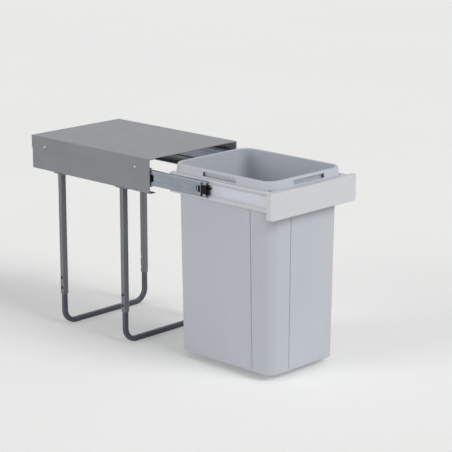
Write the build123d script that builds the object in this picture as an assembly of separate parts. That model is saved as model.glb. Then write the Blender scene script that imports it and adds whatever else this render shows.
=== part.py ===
from build123d import *
import math
import os

# Pull out bin frame for a kitchen cabinet, in millimetres, pulled out to its stop.
# X runs across the frame, +Y into the cabinet and Z up from the cabinet floor.
# The origin is the centre of the four floor screws, on the floor.

# Stand: overall sizes
stand_height = 467.0
cover_width = 292.0
cover_depth = 416.0
bracket_inset = 98.0

# Top cover and side panels
cover_sheet = 1.2
cover_flange = 30.0
cover_rear_flange = 22.0
wall_sheet = 1.5
wall_height = 82.0
wall_top_flange = 12.0
wall_bottom_flange = 17.0
wall_bend = 1.0
brace_height = 40.0
brace_lip = 14.0
small_hole_dia = 5.0
small_hole_back = 43.0
small_hole_rise = 7.0

# Cover screws
cover_screw_dia = 4.0
cover_screw_head_dia = 7.0
cover_screw_head = 1.4
cover_screw_inset = 48.0
cover_screw_rise = 6.0

# Upper legs and floor brackets
leg_width = 15.0
leg_depth = 13.0
leg_wall = 1.2
leg_corner = 2.0
leg_bottom = 80.0
leg_plate = 2.0
leg_plate_length = 40.0
tube_clearance = 0.2
bracket_wall = 1.2
bracket_bend = 38.0
bracket_top = 136.0
bracket_edge = 1.2
floor_hole_dia = 5.0
floor_hole_inset = 45.8

# Leg screws and leg plate rivets
leg_screw_dia = 4.0
leg_screw_head_dia = 7.0
leg_screw_head = 1.4
leg_nut_height = 2.4
leg_nut_sides = 6
leg_screw_rise = 16.0
leg_screw_drop = 14.0
leg_rivet_dia = 4.0
leg_rivet_head_dia = 7.0
leg_rivet_head = 1.2
leg_rivet_inset = 6.0

# Telescopic ball-bearing slides
slide_sheet = 1.5
slide_bend = 0.8
slide_thickness = 12.7
slide_drop = 44.5
slide_overlap = 38.0
outer_rear_gap = 15.0
outer_height = 43.5
outer_depth = 9.5
outer_setback = 1.0
middle_shorter = 14.0
middle_setback = 3.0
middle_web_gap = 1.1
middle_lip = 10.2
middle_jog = 1.0
middle_jog_height = 13.0
inner_shorter = 12.0
inner_setback = 1.0
inner_lip = 7.0
ball_dia = 3.2
ball_clearance = 0.03
race_depth = 0.5
outer_ball_row = 6.1
inner_ball_row = 8.6
balls_in_row = 5
ball_sides = 8
cage_sheet = 1.1
cage_strip = 5.0
cage_pocket_clearance = 0.15
outer_cage_length = 190.0
outer_cage_start = 11.5
inner_cage_length = 180.0
inner_cage_start = 12.0
inner_cage_gap = 0.4

# Slide rivets
slide_rivet_dia = 5.0
slide_rivet_head_dia = 8.0
slide_rivet_head = 0.7
slide_rivet_front_inset = 39.0
slide_rivet_rear_inset = 31.0
inner_rivet_front_inset = 30.0
inner_rivet_rear_inset = 18.0
rivets_in_row = 3

# Plastic end caps and bumpers of the slides
cap_length = 18.4
cap_height = 33.0
cap_proud = 0.3
cap_nose = 1.6
cap_bar_length = 6.0
cap_body_drop = 6.5
cap_hook_radius = 4.5
cap_hook_sheet = 2.5
cap_prong = 3.0
window_back = 19.5
window_length = 7.0
window_height = 15.5
slot_back = 30.0
slot_length = 2.5
slot_height = 12.0
web_hole_dia = 2.6
web_hole_back = 40.0
stop_window_reach = 8.5
stop_window_length = 10.0
stop_window_height = 17.0
passing_gap = 0.4
bumper_length = 9.0
bumper_height = 26.0
bumper_depth = 10.0

# Release levers
lever_thickness = 3.4
lever_pin_dia = 4.0
lever_pin_clearance = 0.05
lever_hub_dia = 11.0
lever_arm_height = 7.0
lever_tip_height = 4.5
lever_length = 34.0
lever_rise = 3.5
lever_reach = 7.0
lever_gap = 0.4

# Moving frame
frame_sheet = 1.5
frame_bend = 1.0
ledge_rise = 21.5
ledge_play = 3.5
rail_height = 47.0
rail_short = 2.0
rail_lip = 6.0
tongue_beyond = 3.5
tongue_height = 30.0
crossbar_height = 42.0
rear_bar_tab = 14.0
rear_bar_gap = 6.0

# Front panel
panel_side_gap = 2.0
panel_height = 61.0
panel_depth = 12.0
panel_wall = 2.5
panel_corner = 8.0
panel_edge = 2.0
closing_gap = 2.0
boss_dia = 9.0
boss_side_inset = 44.0
boss_inset = 14.0
panel_screw_dia = 3.5
panel_screw_head_dia = 7.5
panel_screw_head = 1.6
panel_screw_length = 9.0

# Bin
bin_side_gap = 7.1
bin_front_gap = 7.0
bin_rim_back = 51.0
bin_skirt = 20.0
bin_skirt_wall = 2.0
bin_rim_overhang = 6.0
bin_rim_corner = 36.0
bin_rim_edge = 1.6
bin_ride_gap = 4.8
bin_wall = 2.2
bin_side_taper = 12.0
bin_end_taper = 6.5
bin_bottom_corner = 27.0
bin_bottom_edge = 6.0
bin_floor = 2.5
bin_groove_inset = 60.0
bin_groove_width = 3.0
bin_groove_depth = 0.8
grip_length = 102.0
grip_height = 10.0
grip_drop = 5.5
grip_corner = 2.0

# How far cuts run past the material
overrun = 5.0

# Places worked out from the sizes above: the stand
cover_front = -cover_depth / 2
cover_rear = cover_depth / 2
wall_outer = cover_width / 2 - cover_sheet
bay_half = wall_outer - wall_sheet
cover_under = stand_height - cover_sheet
wall_bottom = stand_height - wall_height
bracket_y = cover_rear - bracket_inset
bracket_width = leg_width - 2 * leg_wall - 2 * tube_clearance
bracket_depth = leg_depth - 2 * leg_wall - 2 * tube_clearance
leg_x = bay_half - leg_width / 2
leg_screw_heights = (leg_bottom + leg_screw_rise, bracket_top - leg_screw_drop)
leg_rivet_step = leg_plate_length / 2 - leg_rivet_inset

# Places worked out from the sizes above: the slides
outer_front = cover_front + outer_setback
outer_length = cover_depth - outer_setback - outer_rear_gap
middle_length = outer_length - middle_shorter
inner_length = outer_length - inner_shorter
travel = outer_length - slide_overlap
slide_z = stand_height - slide_drop
race_gap = ball_dia - 2 * race_depth + 2 * ball_clearance
race_radius = ball_dia / 2 + ball_clearance
outer_half = outer_height / 2
middle_half = outer_half - slide_sheet - race_gap
inner_half = middle_half - slide_sheet - race_gap
middle_web = slide_sheet + middle_web_gap
middle_front = cover_front + middle_setback - travel / 2
inner_front = cover_front + inner_setback - travel
cap_rear = middle_front - cap_nose + cap_length
stop_window_back = cover_front - stop_window_reach - middle_front

# Places worked out from the sizes above: the frame, its panel and the bin
panel_width = cover_width - 2 * panel_side_gap
panel_back = cover_front - closing_gap - travel
panel_front = panel_back - panel_depth
rail_outer = bay_half - slide_thickness
rail_inner = rail_outer - frame_sheet
ledge_top = slide_z + ledge_rise
rail_bottom = ledge_top - rail_height
rim_rear = cover_front - bin_rim_back
rim_front = panel_back + bin_front_gap
rim_top = ledge_top + bin_skirt
rail_end = rim_rear - rail_short
rear_bar_front = rim_rear + rear_bar_gap
rear_bar_rear = rear_bar_front + frame_sheet
tongue_end = rear_bar_rear + tongue_beyond
bin_y = (rim_rear + rim_front) / 2
bin_rim_width = 2 * (rail_inner - bin_side_gap)
bin_rim_length = rim_rear - rim_front
bin_top_width = bin_rim_width - 2 * bin_rim_overhang
bin_top_length = bin_rim_length - 2 * bin_rim_overhang
bin_top_corner = bin_rim_corner - bin_rim_overhang
bin_bottom_width = bin_top_width - 2 * bin_side_taper
bin_bottom_length = bin_top_length - 2 * bin_end_taper
bin_bottom = bracket_width + bin_ride_gap
bin_height = rim_top - bin_bottom
ledge_inner = bin_top_width / 2 + ledge_play
ledge_front = rim_front + bin_rim_overhang - ledge_play + bin_skirt_wall


def block(x0, x1, y0, y1, z0, z1):
    """A box from its lowest to its highest corner."""
    size = (abs(x1 - x0), abs(y1 - y0), abs(z1 - z0))
    middle = ((x0 + x1) / 2, (y0 + y1) / 2, (z0 + z1) / 2)
    return Pos(*middle) * Box(*size)


def area(x0, x1, z0, z1, corner=0.0):
    """A rectangle in the XZ plane, with rounded corners where asked."""
    width = abs(x1 - x0)
    height = abs(z1 - z0)
    shape = RectangleRounded(width, height, corner) if corner > 0 else Rectangle(width, height)
    return Pos((x0 + x1) / 2, (z0 + z1) / 2) * shape


def along_y(section, y0, y1):
    """A section drawn in X and Z, drawn out from y0 to y1."""
    return extrude(Plane.XZ.offset(-y0) * section, amount=-(y1 - y0))


def rod_x(radius, x0, x1, y, z):
    """A round rod along X."""
    return Pos((x0 + x1) / 2, y, z) * Rot(0, 90, 0) * Cylinder(radius, abs(x1 - x0))


def rod_y(radius, y0, y1, x, z):
    """A round rod along Y."""
    return Pos(x, (y0 + y1) / 2, z) * Rot(90, 0, 0) * Cylinder(radius, abs(y1 - y0))


def rod_z(radius, z0, z1, x, y):
    """A round rod along Z."""
    return Pos(x, y, (z0 + z1) / 2) * Cylinder(radius, abs(z1 - z0))


def left_x(depth):
    """The X of a point at a depth into the bay from the left wall."""
    return depth - bay_half


def save(name, *shapes):
    """Writes one node from one solid or several."""
    solids = [solid for shape in shapes for solid in shape.solids()]
    node = solids[0] if len(solids) == 1 else Compound(children=solids)
    node.label = name
    export_step(node, f"parts/{name}.step")


def save_pair(name, *shapes):
    """Writes the left node and its mirror image on the right."""
    save(f"{name}_left", *shapes)
    save(f"{name}_right", *[mirror(shape, about=Plane.YZ) for shape in shapes])


def all_corners(shape):
    """A shape and its mirror images, left and right."""
    return [shape, mirror(shape, about=Plane.YZ)]


# Top cover and side panels

def cover_screw_places():
    """Y and Z of the cover screws on one side."""
    z = cover_under - cover_flange + cover_screw_rise
    return [(y, z) for y in (cover_front + cover_screw_inset, cover_rear - cover_screw_inset)]


def make_top_cover():
    """Sheet cover with a flange down each side and at the rear, and open slots for its screws."""
    half = cover_width / 2
    flange_bottom = cover_under - cover_flange
    outside = area(-half, half, flange_bottom - cover_flange, stand_height, cover_sheet)
    inside = area(-wall_outer, wall_outer, flange_bottom - cover_flange - overrun, cover_under)
    keep = area(-half, half, flange_bottom, stand_height)
    cover = along_y((outside - inside) & keep, cover_front, cover_rear)
    cover += block(-wall_outer, wall_outer, cover_rear - cover_sheet, cover_rear,
                   cover_under - cover_rear_flange, cover_under)
    for y, z in cover_screw_places():
        for side in (-1, 1):
            cover -= rod_x(cover_screw_dia / 2, side * wall_outer, side * (half + overrun), y, z)
            cover -= block(side * wall_outer, side * (half + overrun),
                           y - cover_screw_dia / 2, y + cover_screw_dia / 2, flange_bottom - overrun, z)
    return cover


def make_side_panel():
    """Left wall with a flange inwards at its top and bottom, from one folded sheet."""
    top_edge = left_x(wall_top_flange)
    bottom_edge = left_x(wall_bottom_flange)
    outside = area(-wall_outer, wall_outer, wall_bottom, cover_under, wall_bend + wall_sheet)
    inside = area(-bay_half, bay_half, wall_bottom + wall_sheet, cover_under - wall_sheet, wall_bend)
    upper = area(-wall_outer, top_edge, slide_z, cover_under)
    lower = area(-wall_outer, bottom_edge, wall_bottom, slide_z)
    rear = cover_rear - cover_sheet
    panel = along_y((outside - inside) & (upper + lower), cover_front, rear)
    for y, z in cover_screw_places():
        panel -= rod_x(cover_screw_dia / 2, -wall_outer - overrun, top_edge, y, z)
    for y in slide_rivet_places():
        panel -= rod_x(slide_rivet_dia / 2, -wall_outer - overrun, top_edge, y, slide_z)
    for y in leg_rivet_places():
        panel -= rod_z(leg_rivet_dia / 2, wall_bottom - overrun, wall_bottom + wall_sheet + overrun, -leg_x, y)
    hole_y = cover_front + small_hole_back
    hole_z = wall_bottom + small_hole_rise
    panel -= rod_x(small_hole_dia / 2, -wall_outer - overrun, -bay_half + wall_sheet, hole_y, hole_z)
    return panel


def make_rear_brace():
    """Angle between the side panels at the back, under the cover."""
    rear = cover_rear - cover_sheet
    top = cover_under - wall_sheet
    outline = area(-bay_half, bay_half, cover_under - brace_height, top)
    outline = chamfer(outline.vertices().group_by(Axis.Y)[-1], wall_bend)
    strip = outline & area(-bay_half, bay_half, top - wall_sheet, top)
    return along_y(outline, rear - wall_sheet, rear) + along_y(strip, rear - brace_lip, rear)


def make_cover_screws():
    """Pan head screws through the cover's flanges into the side panels."""
    screws = []
    half = cover_width / 2
    for y, z in cover_screw_places():
        shank = rod_x(cover_screw_dia / 2, -half, -bay_half, y, z)
        head = rod_x(cover_screw_head_dia / 2, -half - cover_screw_head, -half, y, z)
        screws += all_corners(shank + head)
    return screws


# Upper legs and floor brackets

def bracket_places():
    """Y of the front and the rear floor bracket."""
    return (-bracket_y, bracket_y)


def leg_rivet_places():
    """Y of the rivets of both legs on one side."""
    return [y + step for y in bracket_places() for step in (-leg_rivet_step, leg_rivet_step)]


def make_leg(y):
    """Left upper leg: a tube with a plate welded on its top end."""
    plate_bottom = wall_bottom - leg_plate
    section = RectangleRounded(leg_width, leg_depth, leg_corner)
    section -= Rectangle(leg_width - 2 * leg_wall, leg_depth - 2 * leg_wall)
    tube = Pos(-leg_x, y, leg_bottom) * extrude(section, amount=plate_bottom - leg_bottom)
    plate = block(-leg_x - leg_width / 2, -leg_x + leg_width / 2,
                  y - leg_plate_length / 2, y + leg_plate_length / 2, plate_bottom, wall_bottom)
    leg = tube + plate
    for step in (-leg_rivet_step, leg_rivet_step):
        leg -= rod_z(leg_rivet_dia / 2, plate_bottom - overrun, wall_bottom + overrun, -leg_x, y + step)
    for z in leg_screw_heights:
        leg -= rod_x(leg_screw_dia / 2, -leg_x - leg_width, -leg_x + leg_width, y, z)
    return leg


def make_floor_bracket(y):
    """U-bent tube: a run on the floor that turns up into both legs, with two floor screw holes."""
    run_z = bracket_width / 2
    bend = bracket_bend - bracket_width / 2
    path = FilletPolyline((-leg_x, y, bracket_top), (-leg_x, y, run_z), (leg_x, y, run_z),
                          (leg_x, y, bracket_top), radius=bend)
    outline = Rectangle(bracket_width, bracket_depth)
    outline = chamfer(outline.vertices(), bracket_edge)
    outline -= Rectangle(bracket_width - 2 * bracket_wall, bracket_depth - 2 * bracket_wall)
    start = Plane(origin=(-leg_x, y, bracket_top), x_dir=(1, 0, 0), z_dir=(0, 0, -1))
    bracket = sweep(start * outline, path=path)
    for x in (floor_hole_inset - leg_x, leg_x - floor_hole_inset):
        bracket -= rod_z(floor_hole_dia / 2, -overrun, bracket_width + overrun, x, y)
    for z in leg_screw_heights:
        bracket -= rod_x(leg_screw_dia / 2, -cover_width, cover_width, y, z)
    return bracket


def make_leg_screws():
    """Cross screws that clamp the floor brackets in the upper legs, each with its nut."""
    screws = []
    outside = -leg_x - leg_width / 2
    inside = -leg_x + leg_width / 2
    for y in bracket_places():
        for z in leg_screw_heights:
            shank = rod_x(leg_screw_dia / 2, outside, inside, y, z)
            head = rod_x(leg_screw_head_dia / 2, outside - leg_screw_head, outside, y, z)
            nut = extrude(Plane.YZ.offset(inside) * Pos(y, z) * RegularPolygon(leg_screw_head_dia / 2, leg_nut_sides),
                          amount=leg_nut_height)
            screws += all_corners(shank + head + nut)
    return screws


def make_leg_rivets():
    """Rivets that hold the leg plates under the side panels, flush below."""
    rivets = []
    bottom = wall_bottom - leg_plate
    top = wall_bottom + wall_sheet
    for y in leg_rivet_places():
        shank = rod_z(leg_rivet_dia / 2, bottom, top, -leg_x, y)
        head = rod_z(leg_rivet_head_dia / 2, top, top + leg_rivet_head, -leg_x, y)
        rivets += all_corners(shank + head)
    return rivets


# Telescopic ball-bearing slides, drawn for the left side

def channel(back, lip, half, sheet):
    """Section of a folded channel: its web's back, the end of its flanges and half its height."""
    way = 1 if lip > back else -1
    far = lip + way * (half + sheet)
    bend = slide_bend
    outside = area(left_x(back), left_x(far), slide_z - half, slide_z + half, bend + sheet)
    inside = area(left_x(back + way * sheet), left_x(far), slide_z - half + sheet, slide_z + half - sheet, bend)
    keep = area(left_x(back), left_x(lip), slide_z - half, slide_z + half)
    return (outside - inside) & keep


def race(section, row, height):
    """A section with a ball race cut at a depth and at a height above and below the slide's centre."""
    for way in (-1, 1):
        section -= Pos(left_x(row), slide_z + way * height) * Circle(race_radius)
    return section


def outer_ball_height():
    """Height of the outer balls above the slide's centre."""
    return outer_half - slide_sheet - race_gap / 2


def inner_ball_height():
    """Height of the inner balls above the slide's centre."""
    return middle_half - slide_sheet - race_gap / 2


def spread(first, last):
    """Evenly spaced Y of a row of rivets."""
    pitch = (last - first) / (rivets_in_row - 1)
    return [first + pitch * number for number in range(rivets_in_row)]


def slide_rivet_places():
    """Y of the rivets of the outer slide member."""
    return spread(outer_front + slide_rivet_front_inset, outer_front + outer_length - slide_rivet_rear_inset)


def inner_rivet_places():
    """Y of the rivets of the inner slide member."""
    return spread(inner_front + inner_rivet_front_inset, rail_end - inner_rivet_rear_inset)


def make_outer_member():
    """Channel on the side panel, open to the inside, with a ball race in each flange."""
    section = race(channel(0.0, outer_depth, outer_half, slide_sheet), outer_ball_row, outer_ball_height())
    member = along_y(section, outer_front, outer_front + outer_length)
    for y in slide_rivet_places():
        member -= rod_x(slide_rivet_dia / 2, left_x(-overrun), left_x(overrun), y, slide_z)
    return member


def web_window(back, length, height):
    """Cutter for a window in the middle member's web, a length of it from a distance behind the front."""
    front = middle_front + back
    return block(left_x(middle_web - overrun), left_x(middle_web + slide_sheet + middle_jog + inner_cage_gap),
                 front, front + length, slide_z - height / 2, slide_z + height / 2)


def make_middle_member():
    """Channel between the other two, with races on both sides, a stepped web and stamped windows."""
    section = channel(middle_web, middle_lip, middle_half, slide_sheet)
    step = middle_jog_height / 2
    section -= area(left_x(middle_web), left_x(middle_web + middle_jog), slide_z - step, slide_z + step)
    section += area(left_x(middle_web + slide_sheet), left_x(middle_web + slide_sheet + middle_jog),
                    slide_z - step - slide_sheet, slide_z + step + slide_sheet)
    section = race(section, outer_ball_row, outer_ball_height())
    section = race(section, inner_ball_row, inner_ball_height())
    member = along_y(section, middle_front, middle_front + middle_length)
    x0 = left_x(middle_web - overrun)
    x1 = left_x(middle_web + slide_sheet + middle_jog + inner_cage_gap)
    member -= extrude(Plane.YZ.offset(x0) * cap_outline(), amount=x1 - x0)
    member -= web_window(window_back, window_length, window_height)
    member -= web_window(slot_back, slot_length, slot_height)
    member -= web_window(stop_window_back, stop_window_length, stop_window_height)
    member -= rod_x(web_hole_dia / 2, x0, x1, middle_front + web_hole_back, slide_z)
    return member


def make_inner_member():
    """Channel on the side rail, open to the outside, that runs inside the middle member."""
    section = race(channel(slide_thickness, inner_lip, inner_half, slide_sheet), inner_ball_row, inner_ball_height())
    member = along_y(section, inner_front, inner_front + inner_length)
    for y in inner_rivet_places():
        member -= rod_x(slide_rivet_dia / 2, left_x(inner_lip), left_x(slide_thickness + overrun), y, slide_z)
    member -= rod_x(lever_pin_dia / 2, left_x(inner_lip), left_x(slide_thickness + overrun), lever_pin_y(), slide_z)
    return member


def ball_places(start, length):
    """Y of the balls of one row."""
    pitch = length / balls_in_row
    return [start + pitch * (number + 1 / 2) for number in range(balls_in_row)]


def make_ball():
    """One ball, in rings of a few flat sides because it repeats and is small."""
    rings = []
    for share in (-3 / 4, -1 / 4, 1 / 4, 3 / 4):
        turn = math.pi / 2 * share
        ring = RegularPolygon(ball_dia / 2 * math.cos(turn), ball_sides)
        rings.append(Pos(0, 0, ball_dia / 2 * math.sin(turn)) * ring)
    return loft(rings, ruled=True)


def make_balls(start, length, row, height):
    """The balls of the upper and the lower row."""
    ball = make_ball()
    return [Pos(left_x(row), y, slide_z + way * height) * ball
            for y in ball_places(start, length) for way in (-1, 1)]


def pocket(row, y, z):
    """Cutter for the square pocket of one ball."""
    half = ball_dia / 2 + cage_pocket_clearance
    return block(left_x(row) - half, left_x(row) + half, y - half, y + half, z - ball_dia, z + ball_dia)


def make_outer_cage():
    """Two strips that space the balls between the outer and the middle member."""
    start = cover_front + outer_cage_start
    strips = []
    for way in (-1, 1):
        z = slide_z + way * outer_ball_height()
        strip = block(left_x(outer_ball_row - cage_strip / 2), left_x(outer_ball_row + cage_strip / 2),
                      start, start + outer_cage_length, z - cage_sheet / 2, z + cage_sheet / 2)
        for y in ball_places(start, outer_cage_length):
            strip -= pocket(outer_ball_row, y, z)
        strips.append(strip)
    return strips


def make_inner_cage():
    """Plastic channel that spaces the balls between the middle and the inner member."""
    back = middle_web + slide_sheet + middle_jog + inner_cage_gap
    half = inner_ball_height() + cage_sheet / 2
    start = middle_front + inner_cage_start
    section = channel(back, inner_ball_row + cage_strip / 2, half, cage_sheet)
    cage = along_y(section, start, start + inner_cage_length)
    for y in ball_places(start, inner_cage_length):
        for way in (-1, 1):
            cage -= pocket(inner_ball_row, y, slide_z + way * inner_ball_height())
    return cage


def cap_outline():
    """Outline of the end cap in Y and Z: a bar with a hook at its top, a body and a prong."""
    half = cap_height / 2
    front = cap_rear - cap_length
    bottom = slide_z - half
    top = slide_z + half
    hook_y = cap_rear - cap_hook_radius
    hook_z = top - cap_hook_radius
    body_top = hook_z - cap_hook_sheet / 2
    bar = area(cap_rear - cap_bar_length, cap_rear, bottom, bottom + cap_body_drop)
    stem = area(cap_rear - cap_hook_sheet, cap_rear, bottom, hook_z)
    body = area(front, cap_rear, bottom + cap_body_drop, body_top)
    prong = area(front, front + cap_prong, bottom + cap_body_drop - cap_prong, body_top)
    ring = Circle(cap_hook_radius) - Circle(cap_hook_radius - cap_hook_sheet)
    hook = Pos(hook_y, hook_z) * ring & area(hook_y - cap_hook_radius, cap_rear, hook_z, top)
    return bar + stem + body + prong + hook


def make_end_cap():
    """Black plastic cap that fills the stamped opening at the front of the middle member's web."""
    x0 = left_x(middle_web - cap_proud)
    x1 = left_x(middle_web + slide_sheet + middle_jog)
    return extrude(Plane.YZ.offset(x0) * cap_outline(), amount=x1 - x0)


def make_closing_bumper():
    """Block at the rear of the outer member that the inner member meets when the frame is shut."""
    front = inner_front + travel + inner_length + passing_gap
    height = bumper_height / 2
    return block(left_x(slide_sheet), left_x(slide_sheet + bumper_depth), front, front + bumper_length,
                 slide_z - height, slide_z + height)


def make_slide_rivets():
    """Rivets from the side panels through the webs of the outer members."""
    rivets = []
    for y in slide_rivet_places():
        shank = rod_x(slide_rivet_dia / 2, -wall_outer, left_x(slide_sheet), y, slide_z)
        head = rod_x(slide_rivet_head_dia / 2, left_x(slide_sheet), left_x(slide_sheet + slide_rivet_head), y, slide_z)
        rivets += all_corners(shank + head)
    return rivets


# Release levers

def lever_pin_y():
    """Y of the release lever's pin."""
    return middle_front - cap_nose - lever_reach + lever_length


def lever_depths():
    """Depths of the lever's outside and inside face."""
    inside = slide_thickness - slide_sheet - lever_gap
    return inside - lever_thickness, inside


def make_release_lever():
    """Black lever with a hub, an arm and a finger tip that shows in front of the end cap."""
    near, far = lever_depths()
    pin_y = lever_pin_y()
    tip_y = pin_y - lever_length
    hub = Pos(pin_y, slide_z) * Circle(lever_hub_dia / 2)
    rise = slide_z + lever_rise
    arm = make_face(Polyline(
        (pin_y, slide_z - lever_arm_height / 2),
        (pin_y, slide_z + lever_arm_height / 2),
        (tip_y, rise + lever_tip_height / 2),
        (tip_y, rise - lever_tip_height / 2),
        (pin_y, slide_z - lever_arm_height / 2)))
    outline = hub + arm - Pos(pin_y, slide_z) * Circle(lever_pin_dia / 2 + lever_pin_clearance)
    return extrude(Plane.YZ.offset(left_x(near)) * outline, amount=far - near)


def make_lever_pin():
    """Pin through the inner member's web, that the lever turns on."""
    near = lever_depths()[0]
    return rod_x(lever_pin_dia / 2, left_x(near), left_x(slide_thickness), lever_pin_y(), slide_z)


# Moving frame

def make_side_rail():
    """Left rail folded from one sheet: the ledge that the bin's rim rests on, a web and a lower lip."""
    outside = area(-rail_outer, -ledge_inner + overrun, rail_bottom, ledge_top, frame_bend + frame_sheet)
    inside = area(-rail_inner, -ledge_inner + overrun + frame_sheet, rail_bottom + frame_sheet,
                  ledge_top - frame_sheet, frame_bend)
    ledge = area(-rail_outer, -ledge_inner, slide_z, ledge_top)
    lip = area(-rail_outer, -rail_inner + rail_lip, rail_bottom, slide_z)
    section = (outside - inside) & (ledge + lip)
    rail = along_y(section, panel_back, rail_end)
    half = tongue_height / 2
    rail += block(-rail_outer, -rail_inner, rail_end, tongue_end, slide_z - half, slide_z + half)
    for y in inner_rivet_places():
        rail -= rod_x(slide_rivet_dia / 2, -rail_outer - overrun, -rail_inner + overrun, y, slide_z)
    return rail


def make_front_crossbar():
    """Angle across the front behind the panel: a web with screw holes and the front of the ledge."""
    under = ledge_top - frame_sheet
    outline = area(-rail_inner, rail_inner, ledge_top - crossbar_height, under)
    outline = chamfer(outline.vertices().group_by(Axis.Y)[-1], frame_bend)
    bar = along_y(outline, panel_back, panel_back + frame_sheet)
    bar += block(-ledge_inner, ledge_inner, panel_back, ledge_front, under, ledge_top)
    for x, z in boss_places():
        bar -= rod_y(panel_screw_dia / 2, panel_back - overrun, panel_back + overrun, x, z)
    return bar


def make_rear_crossbar():
    """Low plate behind the bin with a tab along each side rail."""
    half = tongue_height / 2
    bar = block(-rail_inner, rail_inner, rear_bar_front, rear_bar_rear, slide_z - half, slide_z + half)
    for side in (-1, 1):
        bar += block(side * (rail_inner - frame_sheet), side * rail_inner, rear_bar_rear - rear_bar_tab,
                     rear_bar_rear, slide_z - half, slide_z + half)
    return bar


def make_inner_rivets():
    """Flat rivets from the slides' inner members through the side rails."""
    rivets = []
    for y in inner_rivet_places():
        shank = rod_x(slide_rivet_dia / 2, left_x(slide_thickness - slide_sheet), -rail_inner, y, slide_z)
        head = rod_x(slide_rivet_head_dia / 2, -rail_inner, -rail_inner + slide_rivet_head, y, slide_z)
        rivets += all_corners(shank + head)
    return rivets


# Front panel

def boss_places():
    """X and Z of the screw bosses in the front panel."""
    top = ledge_top - boss_inset
    bottom = ledge_top - panel_height + boss_inset + panel_wall
    column = panel_width / 2 - boss_side_inset
    return [(x, z) for x in (-column, column) for z in (bottom, top)]


def make_front_panel():
    """Moulded panel, open at the back, with rounded lower corners and screw bosses."""
    half = panel_width / 2
    bottom = ledge_top - panel_height
    outline = area(-half, half, bottom, ledge_top)
    lower = outline.vertices().group_by(Axis.Y)[0]
    outline = fillet(lower, panel_corner)
    panel = along_y(outline, panel_front, panel_back)
    front_edges = panel.faces().sort_by(Axis.Y)[0].edges()
    panel = fillet(front_edges, panel_edge)
    cavity = area(-half + panel_wall, half - panel_wall, bottom + panel_wall, ledge_top - panel_wall,
                  panel_corner - panel_wall)
    panel -= along_y(cavity, panel_front + panel_wall, panel_back + overrun)
    for x, z in boss_places():
        panel += rod_y(boss_dia / 2, panel_front + panel_wall, panel_back, x, z)
        panel -= rod_y(panel_screw_dia / 2, panel_back - panel_screw_length, panel_back + overrun, x, z)
    return panel


def make_panel_screws():
    """Screws from the front crossbar into the bosses of the panel."""
    screws = []
    behind = panel_back + frame_sheet
    for x, z in boss_places():
        shank = rod_y(panel_screw_dia / 2, panel_back - panel_screw_length, behind, x, z)
        head = rod_y(panel_screw_head_dia / 2, behind, behind + panel_screw_head, x, z)
        screws.append(shank + head)
    return screws


# Bin

def bin_block(top_inset, z0, z1):
    """The bin's tapered form between two heights, drawn in by an inset all round."""
    faces = []
    for z in (z0, z1):
        share = (z - bin_bottom) / bin_height
        width = bin_bottom_width + (bin_top_width - bin_bottom_width) * share - 2 * top_inset
        length = bin_bottom_length + (bin_top_length - bin_bottom_length) * share - 2 * top_inset
        corner = bin_bottom_corner + (bin_top_corner - bin_bottom_corner) * share - top_inset
        faces.append(Pos(0, bin_y, z) * RectangleRounded(width, length, corner))
    return loft(faces, ruled=True)


def cut_grooves(body):
    """The bin with an upright groove beside each corner, on all four sides."""
    skin = bin_block(0.0, bin_bottom, rim_top) - bin_block(bin_groove_depth, bin_bottom, rim_top)
    top = rim_top - bin_skirt
    low = bin_bottom + bin_bottom_edge
    half = bin_groove_width / 2
    groove_x = bin_top_width / 2 - bin_groove_inset
    groove_y = bin_top_length / 2 - bin_groove_inset
    for way in (-1, 1):
        across = block(way * groove_x - half, way * groove_x + half,
                       rim_front, rim_rear, low, top)
        lengthwise = block(-bin_rim_width / 2, bin_rim_width / 2,
                           bin_y + way * groove_y - half, bin_y + way * groove_y + half, low, top)
        body -= skin & across
        body -= skin & lengthwise
    return body


def rim_outline(inset):
    """Outline of the rim, drawn in by an inset."""
    return RectangleRounded(bin_rim_width - 2 * inset, bin_rim_length - 2 * inset, bin_rim_corner - inset)


def make_bin():
    """Tapered bin with a turned-down rim that has a grip slot in each side."""
    body = bin_block(0.0, bin_bottom, rim_top)
    foot = body.faces().sort_by(Axis.Z)[0].edges()
    body = fillet(foot, bin_bottom_edge)
    rim = Pos(0, bin_y, rim_top - bin_skirt) * extrude(rim_outline(0.0), amount=bin_skirt)
    top_edges = rim.faces().sort_by(Axis.Z)[-1].edges()
    rim = fillet(top_edges, bin_rim_edge)
    hollow = Pos(0, bin_y, rim_top - bin_skirt) * extrude(
        rim_outline(bin_skirt_wall), amount=bin_skirt - bin_skirt_wall)
    body = cut_grooves(body)
    shell = (rim - hollow) + body
    shell -= bin_block(bin_wall, bin_bottom + bin_floor, rim_top)
    grip_z = rim_top - grip_drop - grip_height / 2
    pocket_middle = (bin_skirt_wall + bin_rim_overhang) / 2
    side_grip = extrude(RectangleRounded(grip_length, grip_height, grip_corner), amount=pocket_middle + overrun)
    for way in (-1, 1):
        edge_x = way * (bin_rim_width / 2 - pocket_middle)
        edge_y = bin_y + way * (bin_rim_length / 2 - pocket_middle)
        side = Plane(origin=(edge_x, bin_y, grip_z), x_dir=(0, 1, 0), z_dir=(way, 0, 0))
        end = Plane(origin=(0, edge_y, grip_z), x_dir=(1, 0, 0), z_dir=(0, way, 0))
        shell -= side * side_grip
        shell -= end * side_grip
    return shell


def build_stand():
    """Writes the fixed pieces."""
    save("top_cover", make_top_cover())
    save_pair("side_panel", make_side_panel())
    save("rear_brace", make_rear_brace())
    save("cover_screws", *make_cover_screws())
    for place, y in zip(("front", "rear"), bracket_places()):
        save_pair(f"{place}_leg", make_leg(y))
        save(f"{place}_floor_bracket", make_floor_bracket(y))
    save("leg_screws", *make_leg_screws())
    save("leg_rivets", *make_leg_rivets())
    save("slide_rivets", *make_slide_rivets())


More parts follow.
